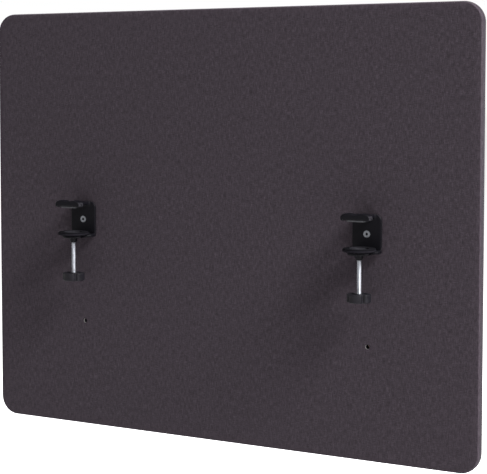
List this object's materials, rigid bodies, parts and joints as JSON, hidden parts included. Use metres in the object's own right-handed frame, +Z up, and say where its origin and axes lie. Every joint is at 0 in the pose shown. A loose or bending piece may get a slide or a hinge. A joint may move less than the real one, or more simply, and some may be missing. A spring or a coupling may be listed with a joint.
{
  "type": "desk privacy panel",
  "caption": "Cloth-covered privacy and pin board with rounded corners, held on a desk top's edge by screw clamps whose feet rise as their knobs are turned.",
  "frame": {"origin": "top edge of the desk top, midway between the clamps: Z = 0 is the jaw pads' underside and Y = 0 the front of the clamp plates, which meet the desk's edge", "axes": "+X along the board, +Y away from the user, +Z up"},
  "size_m": [0.75, 0.0662, 0.6],
  "materials": {
    "cover_cloth": "dark plum-grey melange cloth, fine plain weave, matt",
    "pin_felt": "pressed polyester felt, grey",
    "core_board": "raw particle board",
    "screw_zinc": "zinc plate, slightly dulled",
    "bracket_paint": "black powder coat, satin, and blackened steel",
    "pad_rubber": "grey soft pad, matt",
    "liner_rubber": "black rubber, matt",
    "black_plastic": "moulded black plastic, fine grain"
  },
  "bodies": {
    "root": {"core_board": "core_board", "front_pin_felt": "pin_felt", "back_pin_felt": "pin_felt", "front_cover": "cover_cloth", "back_cover": "cover_cloth", "left_insert": "bracket_paint", "left_spare_insert": "bracket_paint", "left_bracket": "bracket_paint", "left_jaw_pad": "pad_rubber", "left_mounting_screw": "screw_zinc", "left_threaded_bush": "bracket_paint", "right_insert": "bracket_paint", "right_spare_insert": "bracket_paint", "right_bracket": "bracket_paint", "right_jaw_pad": "pad_rubber", "right_mounting_screw": "screw_zinc", "right_threaded_bush": "bracket_paint"},
    "left_foot": {"left_pressure_disc": "black_plastic", "left_disc_liner": "liner_rubber"},
    "left_screw": {"left_spindle": "screw_zinc", "left_retaining_ring": "screw_zinc", "left_knob": "black_plastic"},
    "right_foot": {"right_pressure_disc": "black_plastic", "right_disc_liner": "liner_rubber"},
    "right_screw": {"right_spindle": "screw_zinc", "right_retaining_ring": "screw_zinc", "right_knob": "black_plastic"}
  },
  "joints": [
    {"name": "left_foot_lift", "type": "slide", "parent": "root", "child": "left_foot", "axis": [0, 0, 1], "range_m": [0, 0.033]},
    {"name": "left_spindle_turn", "type": "hinge", "parent": "left_foot", "child": "left_screw", "pos_m": [-0.222, -0.0244, -0.05], "axis": [0, 0, 1], "range_deg": [0, 11880]},
    {"name": "right_foot_lift", "type": "slide", "parent": "root", "child": "right_foot", "axis": [0, 0, 1], "range_m": [0, 0.033]},
    {"name": "right_spindle_turn", "type": "hinge", "parent": "right_foot", "child": "right_screw", "pos_m": [0.222, -0.0244, -0.05], "axis": [0, 0, 1], "range_deg": [0, 11880]}
  ],
  "couplings": [
    {"joint": "left_foot_lift", "follows": "left_spindle_turn", "m_per_rad": 0.00015915},
    {"joint": "right_foot_lift", "follows": "right_spindle_turn", "m_per_rad": 0.00015915}
  ]
}
